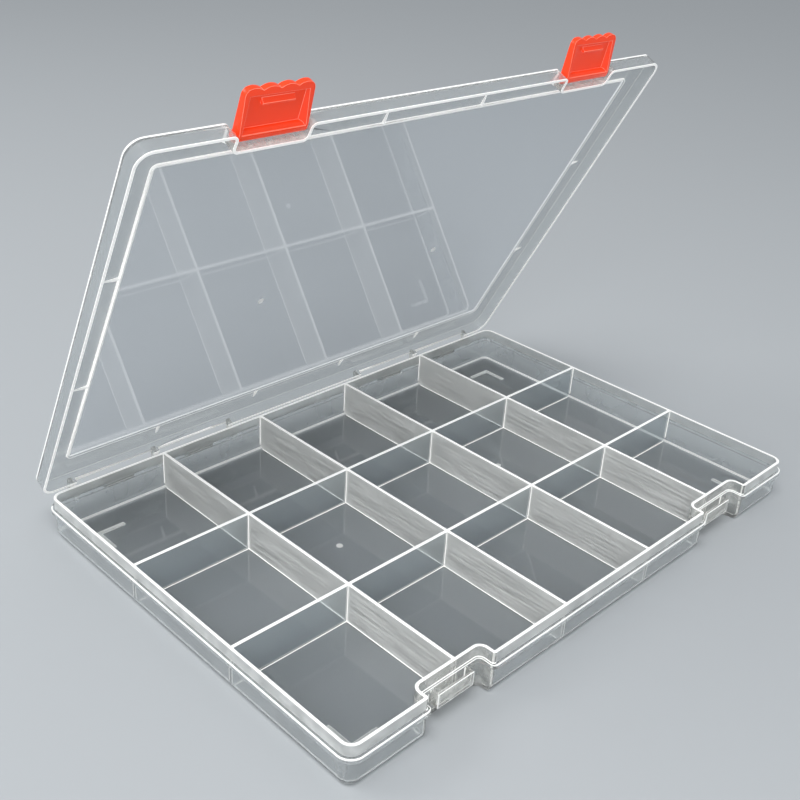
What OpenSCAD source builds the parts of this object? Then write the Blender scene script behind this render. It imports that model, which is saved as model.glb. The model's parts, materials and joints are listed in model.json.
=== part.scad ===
// Shallow clear plastic organizer: one tray moulded with fifteen fixed compartments,
// one common hinged lid and two swinging latches on the lid's front edge.
// Millimetres. Z is up and the feet stand on z = 0. X runs along the hinge line.
// The pose is the photographed one: lid part open, both latches swung out.

/* [Tray] */
// Clear length inside the tray, along the hinge
inner_x = 284; // [270:2:300]
// Clear width inside the tray, front to back
inner_y = 192; // [180:2:204]
// Clear depth of the compartments
depth = 18; // [16:0.5:24]
// Thickness of the outer wall
wall_t = 1.2; // [1:0.1:1.3]
// Thickness of the floor
floor_t = 1.2; // [1:0.1:2]
// Thickness of the dividers
divider_t = 1.4; // [1:0.1:2]
// Height of the round foot beads under the floor
foot_h = 0.5; // [0.3:0.1:1]

/* [Lid] */
// Angle the lid stands open
lid_open = 61.8; // [20:0.1:110]
// Depth of the step between the lid's border and its panel
step_h = 0.75; // [0.5:0.05:1]

/* [Latches] */
// Distance of each latch's middle from the near end of the tray's inside
latch_in = 53; // [48:1:60]
// Angle the left latch is swung out from its closed place
latch_open_left = 97; // [80:1:108]
// Angle the right latch is swung out from its closed place
latch_open_right = 105; // [80:1:108]
// Width of each latch
latch_w = 30; // [26:0.5:32]

/* [Hidden] */
$fn = 48;
eps = 0.01;
lip_z = foot_h + floor_t + depth;
floor_z = foot_h + floor_t;
ledge_out = 2.6;
ledge_drop = 5;
ledge_t = 2;
in_r = 4;
fil = 2;
half_y = inner_y / 2;
pitch_x = inner_x / 5;
pitch_y = inner_y / 3;
outer_y = half_y + ledge_out;
skirt_t = 1.1;
lip_gap = 0.3;
rim_gap = 0.2;
top_h = 2.15;
plate_t = 1.1;
border_z = top_h - plate_t;
panel_z = border_z - step_h;
latch_gap = 0.8;
latch_x = inner_x / 2 - latch_in;
notch_hw = latch_w / 2 + latch_gap + skirt_t + lip_gap;
notch_d = 6;
catch_w = 19;
hinge_back = 6.1;
hinge_drop = 6.2;
hinge_y = half_y + hinge_back;
hinge_z = lip_z - hinge_drop;
hinge_x = inner_x / 2 - 56;
rod_len = 89;
rod_r = 1.5;
clip_gap = 0.08;
clip_r = 2.9;
clip_len = 14;
clip_x = 22;
lug_t = 2.2;
lug_r = 2.4;
axis_y = -half_y + 0.4;
axis_z = lip_z - 1.2;
pin_r = 1;
pin_gap = 0.08;
pin_len = latch_gap + 0.8;
latch_s = 17.9;
latch_bump = 6.8;
latch_corner = 3;
latch_root = 2.3;
step_side = 9.4;
gate_x = 53.6;
gate_y = 8;
gate_r = 1.5;
step_front = 9.7;
step_rear = 12.5;
rear_y = outer_y - hinge_y;
rear_z = top_h + hinge_drop;
rear_edge = hinge_y + rear_y * cos(lid_open) + rear_z * sin(lid_open);
shift_y = (outer_y - rear_edge) / 2;

// Rounded rectangle about the origin
module rrect(w, d, r) {
    square([w - 2 * r, d], center = true);
    square([w, d - 2 * r], center = true);
    for (i = [-1, 1])
        for (j = [-1, 1])
            translate([i * (w / 2 - r), j * (d / 2 - r)])
                circle(r = r);
}

// Plan of both latch notches, out past the front edge
module notches(hw, back, r) {
    for (i = [-1, 1])
        translate([i * latch_x, -half_y]) {
            translate([-hw, -12])
                square([2 * hw, 12 + back - r]);
            translate([-hw + r, -12])
                square([2 * (hw - r), 12 + back]);
            for (j = [-1, 1])
                translate([j * (hw - r), back - r])
                    circle(r = r);
        }
}

// Plan of what rounds off the two corners at each notch's mouth
module mouth_corners(g, n) {
    r = wall_t + n;
    for (i = [-1, 1])
        for (j = [-1, 1])
            translate([i * latch_x + j * (notch_hw + wall_t), -half_y - g + r])
                difference() {
                    translate([j > 0 ? -r - 1 : 0, -r - 1])
                        square([r + 1, r + 1]);
                    circle(r = r);
                }
}

// Plan of the outline, grown by g beyond the inner wall line, notches shrunk by n
module outline(g, n) {
    difference() {
        rrect(inner_x + 2 * g, inner_y + 2 * g, in_r + g);
        notches(notch_hw - n, notch_d - n, 3 - n);
        mouth_corners(g, n);
    }
}

// Upright section with straight sides and its two lower edges rounded by f
module tub_section(w, f, h) {
    k = f * (1 - cos(30));
    m = f * (1 - sin(30));
    polygon([[-w / 2 + f, 0], [w / 2 - f, 0],
        [w / 2 - m, k], [w / 2 - k, m], [w / 2, f],
        [w / 2, h], [-w / 2, h], [-w / 2, f],
        [-w / 2 + k, m], [-w / 2 + m, k]]);
}

// Solid tub standing on z = 0, g larger all round than the clear inside
module tub(g, f, h) {
    w = inner_x + 2 * g;
    d = inner_y + 2 * g;
    r = in_r + g;
    translate([0, d / 2 - r, 0])
        rotate([90, 0, 0])
            linear_extrude(height = d - 2 * r)
                tub_section(w, f, h);
    translate([-(w / 2 - r), 0, 0])
        rotate([90, 0, 90])
            linear_extrude(height = w - 2 * r)
                tub_section(d, f, h);
    for (i = [-1, 1])
        for (j = [-1, 1])
            translate([i * (w / 2 - r), j * (d / 2 - r), 0])
                rotate_extrude()
                    intersection() {
                        tub_section(2 * r, f, h);
                        square([r, h]);
                    }
}

// The clear inside of the whole tray, without its notches
module hollow() {
    translate([0, 0, floor_z])
        tub(0, fil, depth + 1);
}

// Block standing round each notch on the compartment side
module notch_walls() {
    linear_extrude(height = lip_z)
        notches(notch_hw + wall_t, notch_d + wall_t, 3 + wall_t);
}

// One corner foot: two beads in an L
module foot(i, j) {
    cx = i * (inner_x / 2 - 13);
    cy = j * (half_y - 13);
    translate([cx - (i > 0 ? 13 : 1), cy - 1, 0])
        cube([14, 2, foot_h + eps]);
    translate([cx - 1, cy - (j > 0 ? 13 : 1), 0])
        cube([2, 14, foot_h + eps]);
}

// Catch block on the back of a notch, with its open pocket
module catch_block() {
    difference() {
        translate([-catch_w / 2, 1.2, lip_z - 12])
            cube([catch_w, notch_d - 1.2 + eps, 6.4]);
        translate([1 - catch_w / 2, 2.2, lip_z - 11])
            cube([catch_w - 2, notch_d - 3.2, 6.4]);
    }
}

// One snap clip round the lid's hinge rod, open up and to the back
module clip() {
    translate([-clip_len / 2, 0, 0])
        rotate([90, 0, 90])
            linear_extrude(height = clip_len)
                difference() {
                    union() {
                        translate([hinge_y, hinge_z])
                            circle(r = clip_r);
                        translate([outer_y - 1, hinge_z - 0.8])
                            square([hinge_y - outer_y + 1, 1.8]);
                    }
                    translate([hinge_y, hinge_z])
                        circle(r = rod_r + clip_gap);
                    translate([hinge_y, hinge_z])
                        polygon([[0, 0], [6, -0.52], [6, 6], [-0.52, 6]]);
                }
}

module tray_parts() {
    difference() {
        union() {
            difference() {
                translate([0, 0, foot_h])
                    tub(wall_t, fil + wall_t, lip_z - foot_h);
                linear_extrude(height = lip_z + 1)
                    notches(notch_hw, notch_d, 3);
                linear_extrude(height = lip_z + 1)
                    mouth_corners(wall_t, 0);
            }
            translate([0, 0, lip_z - ledge_drop - ledge_t])
                linear_extrude(height = ledge_t)
                    outline(ledge_out, 1);
        }
        difference() {
            hollow();
            notch_walls();
        }
        for (i = [-1, 1])
            translate([i * gate_x, gate_y, 0])
                cylinder(r = gate_r, h = foot_h + 0.4);
    }
    for (i = [-1, 1])
        for (j = [-1, 1])
            foot(i, j);
    for (i = [-1, 1])
        translate([i * latch_x, -half_y, 0])
            catch_block();
    for (i = [-1, 1])
        for (j = [-1, 1])
            translate([i * hinge_x + j * clip_x, 0, 0])
                clip();
}

module tray_shell() {
    color([0.86, 0.89, 0.90, 0.35])
        translate([0, shift_y, 0])
            tray_parts();
}

// A front-to-back divider, cut to the hollow and to the notch wall
module long_divider(k) {
    x = (k - 2.5) * pitch_x;
    color([0.90, 0.92, 0.92, 0.45])
        translate([0, shift_y, 0])
            difference() {
                intersection() {
                    translate([x - divider_t / 2, -half_y - 1, floor_z])
                        cube([divider_t, inner_y + 2, depth]);
                    hollow();
                }
                notch_walls();
            }
}

module long_divider_1() { long_divider(1); }
module long_divider_2() { long_divider(2); }
module long_divider_3() { long_divider(3); }
module long_divider_4() { long_divider(4); }

// A side-to-side divider in its five lengths between the long dividers
module cross_divider(k) {
    y = (k - 1.5) * pitch_y;
    color([0.84, 0.88, 0.90, 0.40])
        translate([0, shift_y, 0])
            difference() {
                intersection() {
                    translate([-inner_x / 2 - 1, y - divider_t / 2, floor_z])
                        cube([inner_x + 2, divider_t, depth]);
                    hollow();
                }
                for (i = [1 : 4])
                    translate([(i - 2.5) * pitch_x - divider_t / 2, y - 5, 0])
                        cube([divider_t, 10, lip_z + 1]);
            }
}

module cross_divider_front() { cross_divider(1); }
module cross_divider_rear() { cross_divider(2); }

// Wedge rib on the border, pointing away from the panel's step
module rib() {
    rotate([90, 0, 0])
        translate([0, 0, -0.5])
            linear_extrude(height = 1)
                polygon([[-0.2, 0], [6, step_h], [6, step_h + 0.2], [-0.2, step_h + 0.2]]);
}

// Lug from the lid's rear skirt down to the hinge rod
module lug() {
    rotate([90, 0, 90])
        linear_extrude(height = lug_t) {
            translate([hinge_y, hinge_z])
                circle(r = lug_r);
            polygon([[outer_y - 0.5, lip_z - 4.8], [outer_y + 0.4, lip_z - 4.8],
                [hinge_y - 1.6, hinge_z], [hinge_y, hinge_z], [hinge_y, hinge_z + lug_r],
                [hinge_y - 1.2, lip_z - 2.4], [outer_y - 0.5, lip_z - 0.6]]);
        }
}

// Hinge rod with its lugs, one of two
module rod_section() {
    translate([-rod_len / 2, hinge_y, hinge_z])
        rotate([0, 90, 0])
            cylinder(r = rod_r, h = rod_len);
    translate([-rod_len / 2, 0, 0])
        lug();
    translate([-lug_t / 2, 0, 0])
        lug();
    translate([rod_len / 2 - lug_t, 0, 0])
        lug();
}

// The lid as it lies closed on the tray
module lid_closed() {
    in_g = ledge_out - skirt_t;
    px = inner_x - 2 * step_side;
    py = inner_y - step_front - step_rear;
    mid = (step_front - step_rear) / 2;
    difference() {
        union() {
            difference() {
                translate([0, 0, lip_z - ledge_drop + rim_gap])
                    linear_extrude(height = top_h + ledge_drop - rim_gap)
                        outline(ledge_out, lip_gap + skirt_t);
                translate([0, 0, lip_z - ledge_drop - 1])
                    linear_extrude(height = ledge_drop + 1 + border_z)
                        outline(in_g, lip_gap);
            }
            translate([0, mid, lip_z + panel_z])
                linear_extrude(height = plate_t)
                    rrect(px, py, 2.5);
        }
        translate([0, mid, lip_z + panel_z + plate_t])
            linear_extrude(height = 3)
                rrect(px - 2, py - 2, 1.5);
        for (i = [-1, 1])
            translate([i * latch_x - notch_hw - 1, axis_y, axis_z])
                rotate([0, 90, 0])
                    cylinder(r = pin_r + pin_gap, h = 2 * notch_hw + 2);
        for (i = [-1, 1])
            translate([i * gate_x, gate_y, lip_z + panel_z + plate_t - 0.4])
                cylinder(r = gate_r, h = 2);
    }
    for (i = [-1.5, -0.5, 0.5, 1.5]) {
        translate([i * pitch_x, half_y - step_rear, lip_z + panel_z])
            rotate([0, 0, 90])
                rib();
        if (abs(i) < 1)
            translate([i * pitch_x, -half_y + step_front, lip_z + panel_z])
                rotate([0, 0, -90])
                    rib();
    }
    for (i = [-0.5, 0.5])
        for (j = [0, 180])
            rotate([0, 0, j])
                translate([inner_x / 2 - step_side, i * pitch_y, lip_z + panel_z])
                    rib();
    for (i = [-1, 1])
        translate([i * hinge_x, 0, 0])
            rod_section();
}

// Turn a thing that belongs to the closed lid into the open lid's place
module open_lid() {
    translate([0, shift_y + hinge_y, hinge_z])
        rotate([-lid_open, 0, 0])
            translate([0, -hinge_y, -hinge_z])
                children();
}

module lid() {
    color([0.86, 0.89, 0.90, 0.30])
        open_lid()
            lid_closed();
}

// Plan of a latch from its axis at y = 0 to its scalloped end
module latch_plan() {
    w = latch_w / 2;
    intersection() {
        translate([0, latch_s / 2])
            rrect(latch_w, latch_s, latch_corner);
        union() {
            translate([-w, 0])
                square([latch_w, latch_s - latch_bump]);
            for (i = [-3, -1, 1, 3])
                translate([i * w / 4, latch_s - latch_bump])
                    circle(r = latch_bump);
        }
    }
    translate([-w, 0])
        square([latch_w, latch_s / 2]);
}

// Hollow of a latch's inner face, with sloping sides and end
module latch_dish() {
    w = latch_w / 2;
    difference() {
        intersection() {
            rotate([90, 0, 180])
                linear_extrude(height = latch_s)
                    polygon([[3 - w, -0.2], [w - 3, -0.2], [w - 0.6, 3], [0.6 - w, 3]]);
            translate([-w, 0, 0])
                rotate([90, 0, 90])
                    linear_extrude(height = 2 * w)
                        polygon([[1, -0.2], [latch_s - 3.4, -0.2], [latch_s - 1.6, 3], [1, 3]]);
        }
        translate([-w, 0, 0])
            rotate([0, 90, 0])
                cylinder(r = latch_root, h = 2 * w);
    }
}

// A latch, flat: free end to +y, inner side up, its axis through the origin
module latch_flat() {
    difference() {
        union() {
            translate([0, 0, -1.8])
                linear_extrude(height = 4.6)
                    latch_plan();
            translate([-latch_w / 2, 0, 0])
                rotate([0, 90, 0])
                    cylinder(r = latch_root, h = latch_w);
        }
        latch_dish();
        translate([-latch_w / 2 - 1, 0, 0])
            rotate([90, 0, 90])
                linear_extrude(height = latch_w + 2)
                    polygon([[2, 2.4], [latch_s + 1, 0.4], [latch_s + 1, 5],
                        [-1, 5], [-1, 2.4]]);
    }
    translate([-7, 0, 0])
        rotate([90, 0, 90])
            linear_extrude(height = 14)
                polygon([[11.4, -0.4], [11.4, 1.2], [12, 1.2], [13.8, -0.4]]);
    translate([-latch_w / 2 - pin_len, 0, 0])
        rotate([0, 90, 0])
            cylinder(r = pin_r, h = latch_w + 2 * pin_len);
}

// A latch in its place on the open lid
module latch(x, open) {
    color([0.96, 0.26, 0.12, 0.85])
        open_lid()
            translate([x, axis_y, axis_z])
                rotate([-90 - open, 0, 0])
                    latch_flat();
}

module latch_left() { latch(-latch_x, latch_open_left); }
module latch_right() { latch(latch_x, latch_open_right); }

tray_shell();
long_divider_1();
long_divider_2();
long_divider_3();
long_divider_4();
cross_divider_front();
cross_divider_rear();
lid();
latch_left();
latch_right();
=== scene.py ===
import json
import math

import bpy
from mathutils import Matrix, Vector


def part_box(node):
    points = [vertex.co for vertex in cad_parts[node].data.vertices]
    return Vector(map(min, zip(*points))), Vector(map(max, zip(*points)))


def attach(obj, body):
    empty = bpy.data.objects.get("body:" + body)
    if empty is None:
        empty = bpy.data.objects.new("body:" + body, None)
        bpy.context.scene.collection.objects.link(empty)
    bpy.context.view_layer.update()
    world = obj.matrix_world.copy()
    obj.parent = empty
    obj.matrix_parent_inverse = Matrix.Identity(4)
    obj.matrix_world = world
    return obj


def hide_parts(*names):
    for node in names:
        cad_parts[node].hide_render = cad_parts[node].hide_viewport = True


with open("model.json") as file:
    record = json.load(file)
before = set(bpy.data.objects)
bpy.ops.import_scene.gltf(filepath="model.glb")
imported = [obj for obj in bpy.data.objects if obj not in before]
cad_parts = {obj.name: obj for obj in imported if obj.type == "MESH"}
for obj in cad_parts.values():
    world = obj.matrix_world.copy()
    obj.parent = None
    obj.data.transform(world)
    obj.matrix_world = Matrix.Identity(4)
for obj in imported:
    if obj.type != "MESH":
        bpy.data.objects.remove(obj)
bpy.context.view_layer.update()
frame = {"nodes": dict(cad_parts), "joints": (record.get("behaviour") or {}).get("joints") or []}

nodes = frame["nodes"]
joints = {j["name"]: j for j in frame["joints"]}

MM = 0.001

# Where the box stands in the frame, read from the solids themselves
long_lo, long_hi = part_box("long_divider_2")
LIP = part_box("tray_shell")[1].z
FLOOR = long_lo.z
INNER_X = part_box("cross_divider_front")[1].x
HALF_Y = (long_hi.y - long_lo.y) / 2
MID_Y = (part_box("cross_divider_front")[0].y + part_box("cross_divider_rear")[1].y) / 2
FRONT_Y = MID_Y - HALF_Y
REAR_Y = MID_Y + HALF_Y
LONG_X = [sum(c.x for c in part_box(f"long_divider_{k}")) / 2 for k in (1, 2, 3, 4)]
CROSS_Y = [sum(c.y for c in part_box(f"cross_divider_{k}")) / 2 for k in ("front", "rear")]
HINGE = Vector(joints["lid_hinge"]["pos_m"])
LID_OPEN = math.radians(-joints["lid_hinge"]["range_deg"][0])
LATCH_X = joints["latch_right_hinge"]["pos_m"][0]

# Sizes of the tray that its finish goes by
CORNER_R = 4 * MM
LEDGE_TOP = LIP - 5 * MM
NOTCH_HALF = 20.6 * MM
NOTCH_DEEP = 8.5 * MM
CATCH_HALF = 7.6 * MM
CATCH_DEEP = 5.9 * MM

# Heights of the closed lid's faces above the tray's lip, in millimetres
SKIRT_BOTTOM, WINDOW_TOP = -4.8, -2.6
UNDER_PANEL, PANEL_TOP = 0.3, 1.4
UNDER_BORDER, BORDER_TOP = 1.05, 2.15

# The step round the panel lies this far in from the tray's wall
STEP_NEAR, STEP_FAR = 5 * MM, 14 * MM

# Wedge ribs outside the step: places along the long and the short sides
RIB_X = (28.4 * MM, 85.2 * MM)
RIB_Y = 32 * MM
RIB_HALF = 0.6 * MM

# Moulding gates: two dimples in the tray's underside and two in the lid's outer face
GATE_X = 53.6 * MM
GATE_Y = MID_Y + 8 * MM
GATE_R = 1.6 * MM
# Planes that split every ring-shaped face of the lid, the ones round the gates too
RING_CUTS = (0, GATE_X, -GATE_X)

POLYPROPYLENE_IOR = 1.49
FLOW_LINE_LENGTH = 30 * MM


def linear(hex_colour):
    """The linear colour of an sRGB hex value, with an alpha of 1."""
    parts = [int(hex_colour[i:i + 2], 16) / 255 for i in (1, 3, 5)]
    return [c / 12.92 if c <= 0.04045 else ((c + 0.055) / 1.055) ** 2.4 for c in parts] + [1.0]


def add_node(tree, kind, settings=None, **links):
    """Adds a node, with its settings and with values or links on its sockets."""
    node = tree.nodes.new(kind)
    for key, value in (settings or {}).items():
        setattr(node, key, value)
    for key, value in links.items():
        numbered = key[0] == "i" and key[1:].isdigit()
        socket = node.inputs[int(key[1:]) if numbered else key]
        if isinstance(value, bpy.types.NodeSocket):
            tree.links.new(value, socket)
        else:
            socket.default_value = value
    return node


def plastic(name, colour, clear, rough, streak=None, blotch=None, glow=0.0):
    """Moulded polypropylene: colour by hex, clear from 0 milky to 1 see-through."""
    made = bpy.data.materials.new(name)
    made.use_nodes = True
    tree = made.node_tree
    shader = tree.nodes["Principled BSDF"].inputs
    shader["Base Color"].default_value = linear(colour)
    shader["Roughness"].default_value = rough
    shader["IOR"].default_value = POLYPROPYLENE_IOR
    shader["Transmission Weight"].default_value = clear
    # A glow above 0 is painted light: the surface emits though it is no lamp
    shader["Emission Color"].default_value = linear(colour)
    shader["Emission Strength"].default_value = glow
    if streak or blotch:
        place = add_node(tree, "ShaderNodeTexCoord").outputs["Object"]
    if streak:
        # Flow lines from moulding that run along the wall, so many millimetres apart
        low, high, pitch = streak
        stretched = add_node(tree, "ShaderNodeMapping", Vector=place,
                             Scale=(1 / FLOW_LINE_LENGTH, 1 / FLOW_LINE_LENGTH, 1 / (pitch * MM)))
        noise = add_node(tree, "ShaderNodeTexNoise", Vector=stretched.outputs[0],
                         Scale=1.0, Detail=4.0, Roughness=0.6)
        ramp = add_node(tree, "ShaderNodeMapRange", i0=noise.outputs["Fac"],
                        i1=0.36, i2=0.64, i3=low, i4=high)
        tree.links.new(ramp.outputs[0], shader["Transmission Weight"])
    if blotch:
        # Cloudy patches, a grain of so many millimetres across, where the plastic cooled unevenly
        low, high, grain = blotch
        noise = add_node(tree, "ShaderNodeTexNoise", Vector=place,
                         Scale=1 / (grain * MM), Detail=3.0)
        ramp = add_node(tree, "ShaderNodeMapRange", i0=noise.outputs["Fac"],
                        i1=0.35, i2=0.65, i3=low, i4=high)
        tree.links.new(ramp.outputs[0], shader["Transmission Weight"])
    return made


# Polished mould faces: nearly invisible, with sharp reflections
clear_floor = plastic("clear polypropylene floor", "#F4F7F8", 0.96, 0.03)
# Upright walls drag on the polished mould as it opens: a little milk and softer reflections
clear_wall = plastic("clear polypropylene wall", "#F0F4F5", 0.86, 0.08)
# Cross dividers are thinner and look faintly grey blue
clear_cross = plastic("clear polypropylene divider", "#E9F0F3", 0.84, 0.08)
# Long dividers come from a ground mould face: a whitish frost with fine lines along the wall.
# Real lines are finer than the render shows, so they are drawn 0.8 mm apart
frosted = plastic("frosted polypropylene divider", "#F8F9F7", 0.5, 0.4, streak=(0.2, 0.72, 0.8))
# Small pockets and recesses, where the flow meets: uneven milky patches
cloudy = plastic("cloudy polypropylene", "#F6F7F4", 0.75, 0.2, blotch=(0.6, 0.92, 5))
# The tray's outer wall: an even mist, so that it shows against what lies behind
misted = plastic("misted polypropylene outer wall", "#F0F4F5", 0.74, 0.15, blotch=(0.7, 0.78, 14))
# Painted highlight on the narrow faces and edge strips: near-white, barely clear plastic that
# glows, standing in for light that leaves the sheets at their edges
edge = plastic("polypropylene edge with painted glow", "#FFFFFD", 0.1, 0.25, glow=0.28)
# Thick places scatter the light and look white
milky = plastic("milky polypropylene", "#F8F9F7", 0.5, 0.3, blotch=(0.35, 0.7, 6))
# The lid's panel has the best polish: it mirrors the dividers below
lid_panel = plastic("clear polypropylene lid panel", "#F2F5F8", 0.96, 0.015)
# The border round the panel is less clear, with blurred reflections
lid_border = plastic("clear polypropylene lid border", "#F0F3F4", 0.84, 0.12)
# Dyed orange red plastic, with a painted glow that lightens its shade
latch_red = plastic("orange red translucent polypropylene", "#FF4A1E", 0.15, 0.28, glow=0.16)
# Painted highlight on the latches' thin rounded edges: the same plastic in a paler colour that
# glows more
latch_edge_highlight = plastic("orange red polypropylene edge with painted highlight", "#FFB8A2", 0.15, 0.28, glow=0.4)


def alone(obj):
    """Makes a piece the only selected one, and the active one."""
    bpy.ops.object.select_all(action="DESELECT")
    obj.hide_set(False)
    obj.select_set(True)
    bpy.context.view_layer.objects.active = obj


def merge_flat(obj, cuts=()):
    """Merges triangles to flat faces, which upright planes at x in cuts still split."""
    alone(obj)
    bpy.ops.object.mode_set(mode="EDIT")
    bpy.ops.mesh.select_all(action="SELECT")
    bpy.ops.mesh.remove_doubles(threshold=0.002 * MM)
    for x in cuts:
        bpy.ops.mesh.select_all(action="SELECT")
        bpy.ops.mesh.bisect(plane_co=(x, 0, 0), plane_no=(1, 0, 0))
        bpy.ops.mesh.mark_seam(clear=False)
    bpy.ops.mesh.select_all(action="SELECT")
    bpy.ops.mesh.dissolve_limited(angle_limit=math.radians(0.4), delimit={"SEAM"})
    bpy.ops.object.mode_set(mode="OBJECT")


def merged_copy(node, name):
    """A copy of a solid from the frame with its triangles merged to flat faces."""
    made = bpy.data.objects.new(name, nodes[node].data.copy())
    bpy.context.scene.collection.objects.link(made)
    made.data.materials.clear()
    merge_flat(made)
    return made


def combine(whole, operation, part):
    """Fuses a part to the whole, or cuts it out of it, and removes the part."""
    step = whole.modifiers.new("combine", "BOOLEAN")
    step.operation = operation
    step.solver = "EXACT"
    step.object = part
    alone(whole)
    bpy.ops.object.modifier_apply(modifier=step.name)
    bpy.data.objects.remove(part)


def finish_faces(obj, materials, choose):
    """Gives each face the material that choose(centre, normal) names."""
    for m in materials:
        obj.data.materials.append(m)
    for f in obj.data.polygons:
        f.material_index = materials.index(choose(f.center, f.normal))


def split_cornered_faces(obj, most, area=1.0):
    """Cuts the faces with more than so many corners, and under an area in square metres, into
    triangles."""
    bpy.context.tool_settings.mesh_select_mode = (False, False, True)
    alone(obj)
    for f in obj.data.polygons:
        f.select = len(f.vertices) > most and f.area < area
    bpy.ops.object.mode_set(mode="EDIT")
    bpy.ops.mesh.quads_convert_to_tris(quad_method="BEAUTY", ngon_method="BEAUTY")
    bpy.ops.object.mode_set(mode="OBJECT")


def strip_edges(obj, choose, slot):
    """Sets off a strip on both sides of each sharp edge, as wide as choose(middle, direction)
    says. The shape stays, and the strips get the material in the slot."""
    width = 0.3 * MM
    sides = {}
    for f in obj.data.polygons:
        for key in f.edge_keys:
            sides.setdefault(key, []).append(f.normal)
    weights = obj.data.attributes.new("bevel_weight_edge", "FLOAT", "EDGE")
    for e in obj.data.edges:
        normals = sides.get(e.key, [])
        weight = 0.0
        if len(normals) == 2 and normals[0].dot(normals[1]) < 0.8:
            a, b = (obj.data.vertices[i].co for i in e.vertices)
            weight = choose((a + b) / 2, (b - a).normalized()) / width
        weights.data[e.index].value = weight
    strips = obj.modifiers.new("strips", "BEVEL")
    strips.limit_method = "WEIGHT"
    strips.offset_type = "OFFSET"
    strips.width = width
    strips.segments = 2
    strips.profile = 1.0
    strips.material = slot
    strips.use_clamp_overlap = False
    strips.miter_outer = "MITER_SHARP"
    alone(obj)
    bpy.ops.object.modifier_apply(modifier=strips.name)
    obj.data.attributes.remove(obj.data.attributes["bevel_weight_edge"])


# ---- Tray: one moulding in the real box, so its dividers are fused to the shell ----
def beyond(c):
    """How far a place is outside the tray's clear inside, in plan; less than 0 within it."""
    across, along = abs(c.x) - INNER_X + CORNER_R, abs(c.y - MID_Y) - HALF_Y + CORNER_R
    if across > 0 and along > 0:
        return math.hypot(across, along) - CORNER_R
    return max(across, along) - CORNER_R


def in_notch(c):
    """Whether a place is at one of the notches that the latches hang in."""
    return abs(abs(c.x) - LATCH_X) < NOTCH_HALF and c.y < FRONT_Y + NOTCH_DEEP


def in_catch(c):
    """Whether a place is at one of the catch blocks in the notches."""
    return (abs(abs(c.x) - LATCH_X) < CATCH_HALF and c.y < FRONT_Y + CATCH_DEEP
            and LIP - 12.1 * MM < c.z < LIP - 5.5 * MM)


def at_gate(c):
    """Whether a place is in a moulding gate's dimple."""
    return (abs(c.x) - GATE_X) ** 2 + (c.y - GATE_Y) ** 2 < GATE_R ** 2


def tray_finish(c, n):
    """The plastic of a face of the tray, by its centre and normal."""
    outer = beyond(c)
    foot_bead = c.z < 0.45 * MM and abs(c.x) < INNER_X - 4 * MM
    # Faces given the edge plastic carry its painted glow: the gate dimples and foot bead here, the
    # lip tops next
    if c.z < 1.2 * MM and (at_gate(c) or foot_bead):
        return edge
    if n.z > 0.6 and abs(c.z - LIP) < 0.4 * MM:
        return edge
    if outer > 2.7 * MM and c.y > REAR_Y:
        return milky
    if in_notch(c) and c.z > FLOOR:
        return cloudy
    if outer > 0.6 * MM and c.z > LEDGE_TOP + 0.1 * MM:
        return milky
    # The middle of the rounded bottom edge, a painted bright line in the edge plastic
    if outer > -3 * MM and abs(n.z + 0.707) < 0.15:
        return edge
    if outer > 1 * MM and abs(n.z) < 0.3 and c.z < LEDGE_TOP:
        return misted
    if abs(n.z) > 0.7 and c.z < FLOOR + 1 * MM:
        return clear_floor
    if abs(n.x) > 0.9 and min(abs(c.x - x) for x in LONG_X) < 0.8 * MM:
        return frosted
    if abs(n.y) > 0.9 and min(abs(c.y - y) for y in CROSS_Y) < 0.8 * MM:
        return clear_cross
    return clear_wall


def tray_strips(c, d):
    """How wide the strip of painted glow beside an edge of the tray is."""
    outer = beyond(c)
    on_ledge = abs(c.z - LEDGE_TOP) < 0.01 * MM
    if c.z < FLOOR - 0.1 * MM:
        return 0
    if abs(c.z - LIP) < 0.01 * MM:
        return 0.12 * MM
    # Nothing on the hinge clips
    if c.y > REAR_Y + 0.1 * MM:
        return 0
    if on_ledge and outer > 2.3 * MM:
        return 0.5 * MM
    if on_ledge and in_notch(c) and abs(d.z) < 0.1:
        return 0.3 * MM
    if in_catch(c):
        return 0.25 * MM
    # Upright corners where walls and dividers meet
    if abs(d.z) > 0.99 and outer < 0.1 * MM:
        return 0.35 * MM
    # Corners between the dividers and the floor
    if abs(c.z - FLOOR) < 0.01 * MM and outer < -1 * MM:
        return 0.3 * MM
    return 0


tray = merged_copy("tray_shell", "tray_moulding")
for k in (1, 2, 3, 4):
    combine(tray, "UNION", merged_copy(f"long_divider_{k}", "divider"))
for k in ("front", "rear"):
    combine(tray, "UNION", merged_copy(f"cross_divider_{k}", "divider"))
merge_flat(tray)
tray_plastics = [clear_floor, clear_wall, clear_cross, frosted, cloudy, edge, milky, misted]
finish_faces(tray, tray_plastics, tray_finish)
split_cornered_faces(tray, 8)
strip_edges(tray, tray_strips, tray_plastics.index(edge))
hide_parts("tray_shell", "long_divider_1", "long_divider_2", "long_divider_3",
            "long_divider_4", "cross_divider_front", "cross_divider_rear")
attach(tray, "tray")


# ---- Lid ----
def turned(v, angle):
    """A direction turned about the line of the hinge."""
    c, s = math.cos(angle), math.sin(angle)
    return Vector((v.x, v.y * c - v.z * s, v.y * s + v.z * c))


def on_closed_lid(p):
    """A point of the open lid, as it lies on the closed one."""
    return HINGE + turned(p - HINGE, LID_OPEN)


def on_open_lid(p):
    """A point of the closed lid, as it stands on the open one."""
    return HINGE + turned(p - HINGE, -LID_OPEN)


def inside_wall(p):
    """How far a point of the closed lid lies in from the tray's wall."""
    return min(INNER_X - abs(p.x), HALF_Y - abs(p.y - MID_Y))


def at_level(p, *levels):
    """Whether a point of the closed lid is on one of the heights above the lip."""
    return min(abs((p.z - LIP) / MM - level) for level in levels) < 0.02


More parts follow.
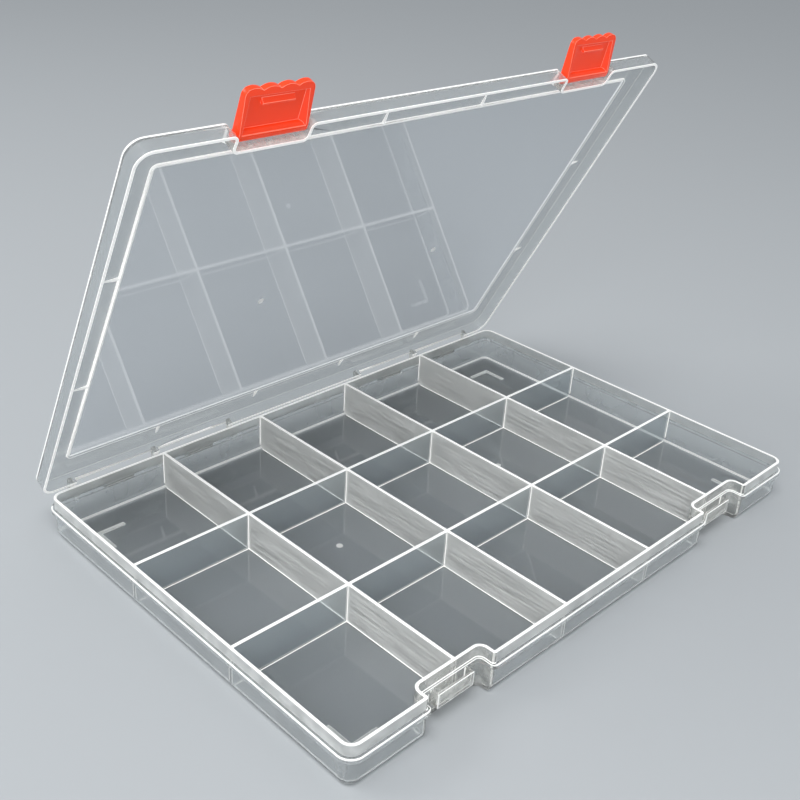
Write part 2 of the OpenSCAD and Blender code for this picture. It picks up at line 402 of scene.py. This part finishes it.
def on_rib(p):
    """Whether a point of the closed lid is on one of the wedge ribs outside the step."""
    y = abs(p.y - MID_Y)
    beside_long = min(abs(abs(p.x) - x) for x in RIB_X) < RIB_HALF and y > 80 * MM
    beside_short = abs(y - RIB_Y) < RIB_HALF and abs(p.x) > 130 * MM
    return beside_long or beside_short


def lid_finish(c, n):
    """The plastic of a face of the lid, by its centre and normal."""
    p, d = on_closed_lid(c), turned(n, LID_OPEN)
    inset = inside_wall(p)
    high = (p.z - LIP) / MM
    # The skirt's lower face, the gate dimples, the ribs and the step round the panel carry the
    # painted glow of the edge plastic
    if d.z < -0.8 and high < -4.5:
        return edge
    if at_gate(p) and d.z > -0.5:
        return edge
    if 0.25 < high < 1.04 and on_rib(p):
        return edge
    # Hinge rods and their lugs
    if inset < -2.8 * MM and p.y > MID_Y and high < -1:
        return milky
    # The recesses that the latches turn in
    if abs(abs(p.x) - LATCH_X) < 18 * MM and p.y < FRONT_Y + 6 * MM and high < 1.2:
        return cloudy
    if high < 1.5 and abs(d.z) < 0.5 and STEP_NEAR < inset < STEP_FAR:
        return edge
    if abs(d.z) > 0.8 and inset > STEP_NEAR and at_level(p, UNDER_PANEL, PANEL_TOP):
        return lid_panel
    return lid_border


def lid_strips(c, d):
    """How wide the strip of painted glow beside an edge of the lid is."""
    p = on_closed_lid(c)
    if abs(turned(d, LID_OPEN).z) > 0.1:
        return 0
    if at_level(p, SKIRT_BOTTOM):
        return 0.35 * MM
    if at_level(p, WINDOW_TOP):
        return 0.5 * MM
    on_step = STEP_NEAR < inside_wall(p) < STEP_FAR
    if on_step and at_level(p, UNDER_PANEL, UNDER_BORDER, PANEL_TOP, BORDER_TOP):
        return 0.37 * MM
    beside_latch = abs(abs(p.x) - LATCH_X) < 19 * MM and p.y < FRONT_Y + 9 * MM
    if at_level(p, BORDER_TOP) or (beside_latch and at_level(p, UNDER_BORDER)):
        return 0.7 * MM
    return 0


lid = merged_copy("lid", "lid_moulding")
# Windows in the skirt over each hinge rod, one on each side of its middle lug. The cutter is
# thicker than the skirt and reaches below it
WINDOW_X = (64.45 * MM, 107.55 * MM)
CUTTER_SIZE = (39.9 * MM, 2.5 * MM, 2.6 * MM)
for side in (-1, 1):
    for x in WINDOW_X:
        closed = Vector((side * x, REAR_Y + 1.75 * MM, LIP + WINDOW_TOP * MM - CUTTER_SIZE[2] / 2))
        bpy.ops.object.select_all(action="DESELECT")
        bpy.ops.mesh.primitive_cube_add(size=1, location=on_open_lid(closed),
                                        rotation=(-LID_OPEN, 0, 0), scale=CUTTER_SIZE)
        combine(lid, "DIFFERENCE", bpy.context.object)
merge_flat(lid, RING_CUTS)
lid_plastics = [lid_panel, lid_border, cloudy, edge, milky]
finish_faces(lid, lid_plastics, lid_finish)
split_cornered_faces(lid, 8, 600 * MM * MM)
strip_edges(lid, lid_strips, lid_plastics.index(edge))
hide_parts("lid")
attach(lid, "lid")

# ---- Latches: their rounded edges carry a painted highlight in a paler, glowing plastic ----
for side in ("left", "right"):
    latch = merged_copy(f"latch_{side}", f"{side}_latch_moulding")
    rounding = latch.modifiers.new("rounded edges", "BEVEL")
    rounding.width = 0.35 * MM
    rounding.segments = 3
    rounding.limit_method = "ANGLE"
    rounding.angle_limit = math.radians(40)
    # The rounding takes slot 1, the paler plastic with the painted highlight
    rounding.material = 1
    alone(latch)
    finish_faces(latch, [latch_red, latch_edge_highlight], lambda c, n: latch_red)
    bpy.ops.object.modifier_apply(modifier=rounding.name)
    bpy.ops.object.shade_smooth_by_angle(angle=math.radians(35))
    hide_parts(f"latch_{side}")
    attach(latch, f"latch_{side}")

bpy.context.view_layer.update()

# ---- Floor, light and camera ----
bpy.ops.mesh.primitive_plane_add(size=12)
ground = bpy.context.object
ground.name = "floor"
# Paper has no gloss and gives an even pale grey
paper = bpy.data.materials.new("matt grey paper")
paper.use_nodes = True
paper_shader = paper.node_tree.nodes["Principled BSDF"].inputs
paper_shader["Base Color"].default_value = linear("#B9BDC0")
paper_shader["Roughness"].default_value = 0.9
paper_shader["Specular IOR Level"].default_value = 0.2
ground.data.materials.append(paper)


def softbox(name, place, aim, width, power):
    """A soft lamp of so many metres and watts, turned to the point that it lights."""
    bpy.ops.object.light_add(type="AREA", location=place)
    lamp = bpy.context.object
    lamp.name = name
    lamp.data.shape = "RECTANGLE"
    lamp.data.size = width
    lamp.data.size_y = width * 0.7
    lamp.data.energy = power
    lamp.rotation_euler = (Vector(aim) - Vector(place)).to_track_quat("-Z", "Y").to_euler()


softbox("key softbox", (-0.5, -0.3, 1.5), (0, 0, 0), 0.9, 9)
softbox("rear softbox", (-0.9, 1.0, 1.1), (0, 0, 0.05), 0.8, 5)
softbox("left softbox", (-1.1, -0.6, 0.7), (0, 0, 0.05), 0.8, 5)

# The camera, and what it sees through the plastic or mirrored in it, has a darker sky,
# so that the sky meets the far floor without a bright band
SKY_LIGHT, SKY_SEEN = 0.7, 0.36
world = bpy.data.worlds.new("studio")
bpy.context.scene.world = world
world.use_nodes = True
sky = world.node_tree
sky_shader = sky.nodes["Background"].inputs
sky_shader["Color"].default_value = linear("#E8EBEE")
path = add_node(sky, "ShaderNodeLightPath").outputs
direct = add_node(sky, "ShaderNodeMath", {"operation": "MAXIMUM"},
                  i0=path["Is Camera Ray"], i1=path["Is Transmission Ray"])
seen = add_node(sky, "ShaderNodeMath", {"operation": "MAXIMUM"},
                i0=direct.outputs[0], i1=path["Is Glossy Ray"])
level = add_node(sky, "ShaderNodeMapRange", i0=seen.outputs[0], i3=SKY_LIGHT, i4=SKY_SEEN)
sky.links.new(level.outputs[0], sky_shader["Strength"])

# The camera that a fit to the photographed grid, lip and lid gave
bpy.ops.object.camera_add(location=(-323.6 * MM, -287.27 * MM, 287.99 * MM),
                          rotation=[math.radians(a) for a in (61.823, -3.259, -44.408)])
camera = bpy.context.object
camera.data.lens = 49.163
camera.data.sensor_width = 36
camera.data.clip_start = 0.01
camera.data.clip_end = 50
bpy.context.scene.camera = camera
bpy.context.scene.view_settings.view_transform = "Standard"
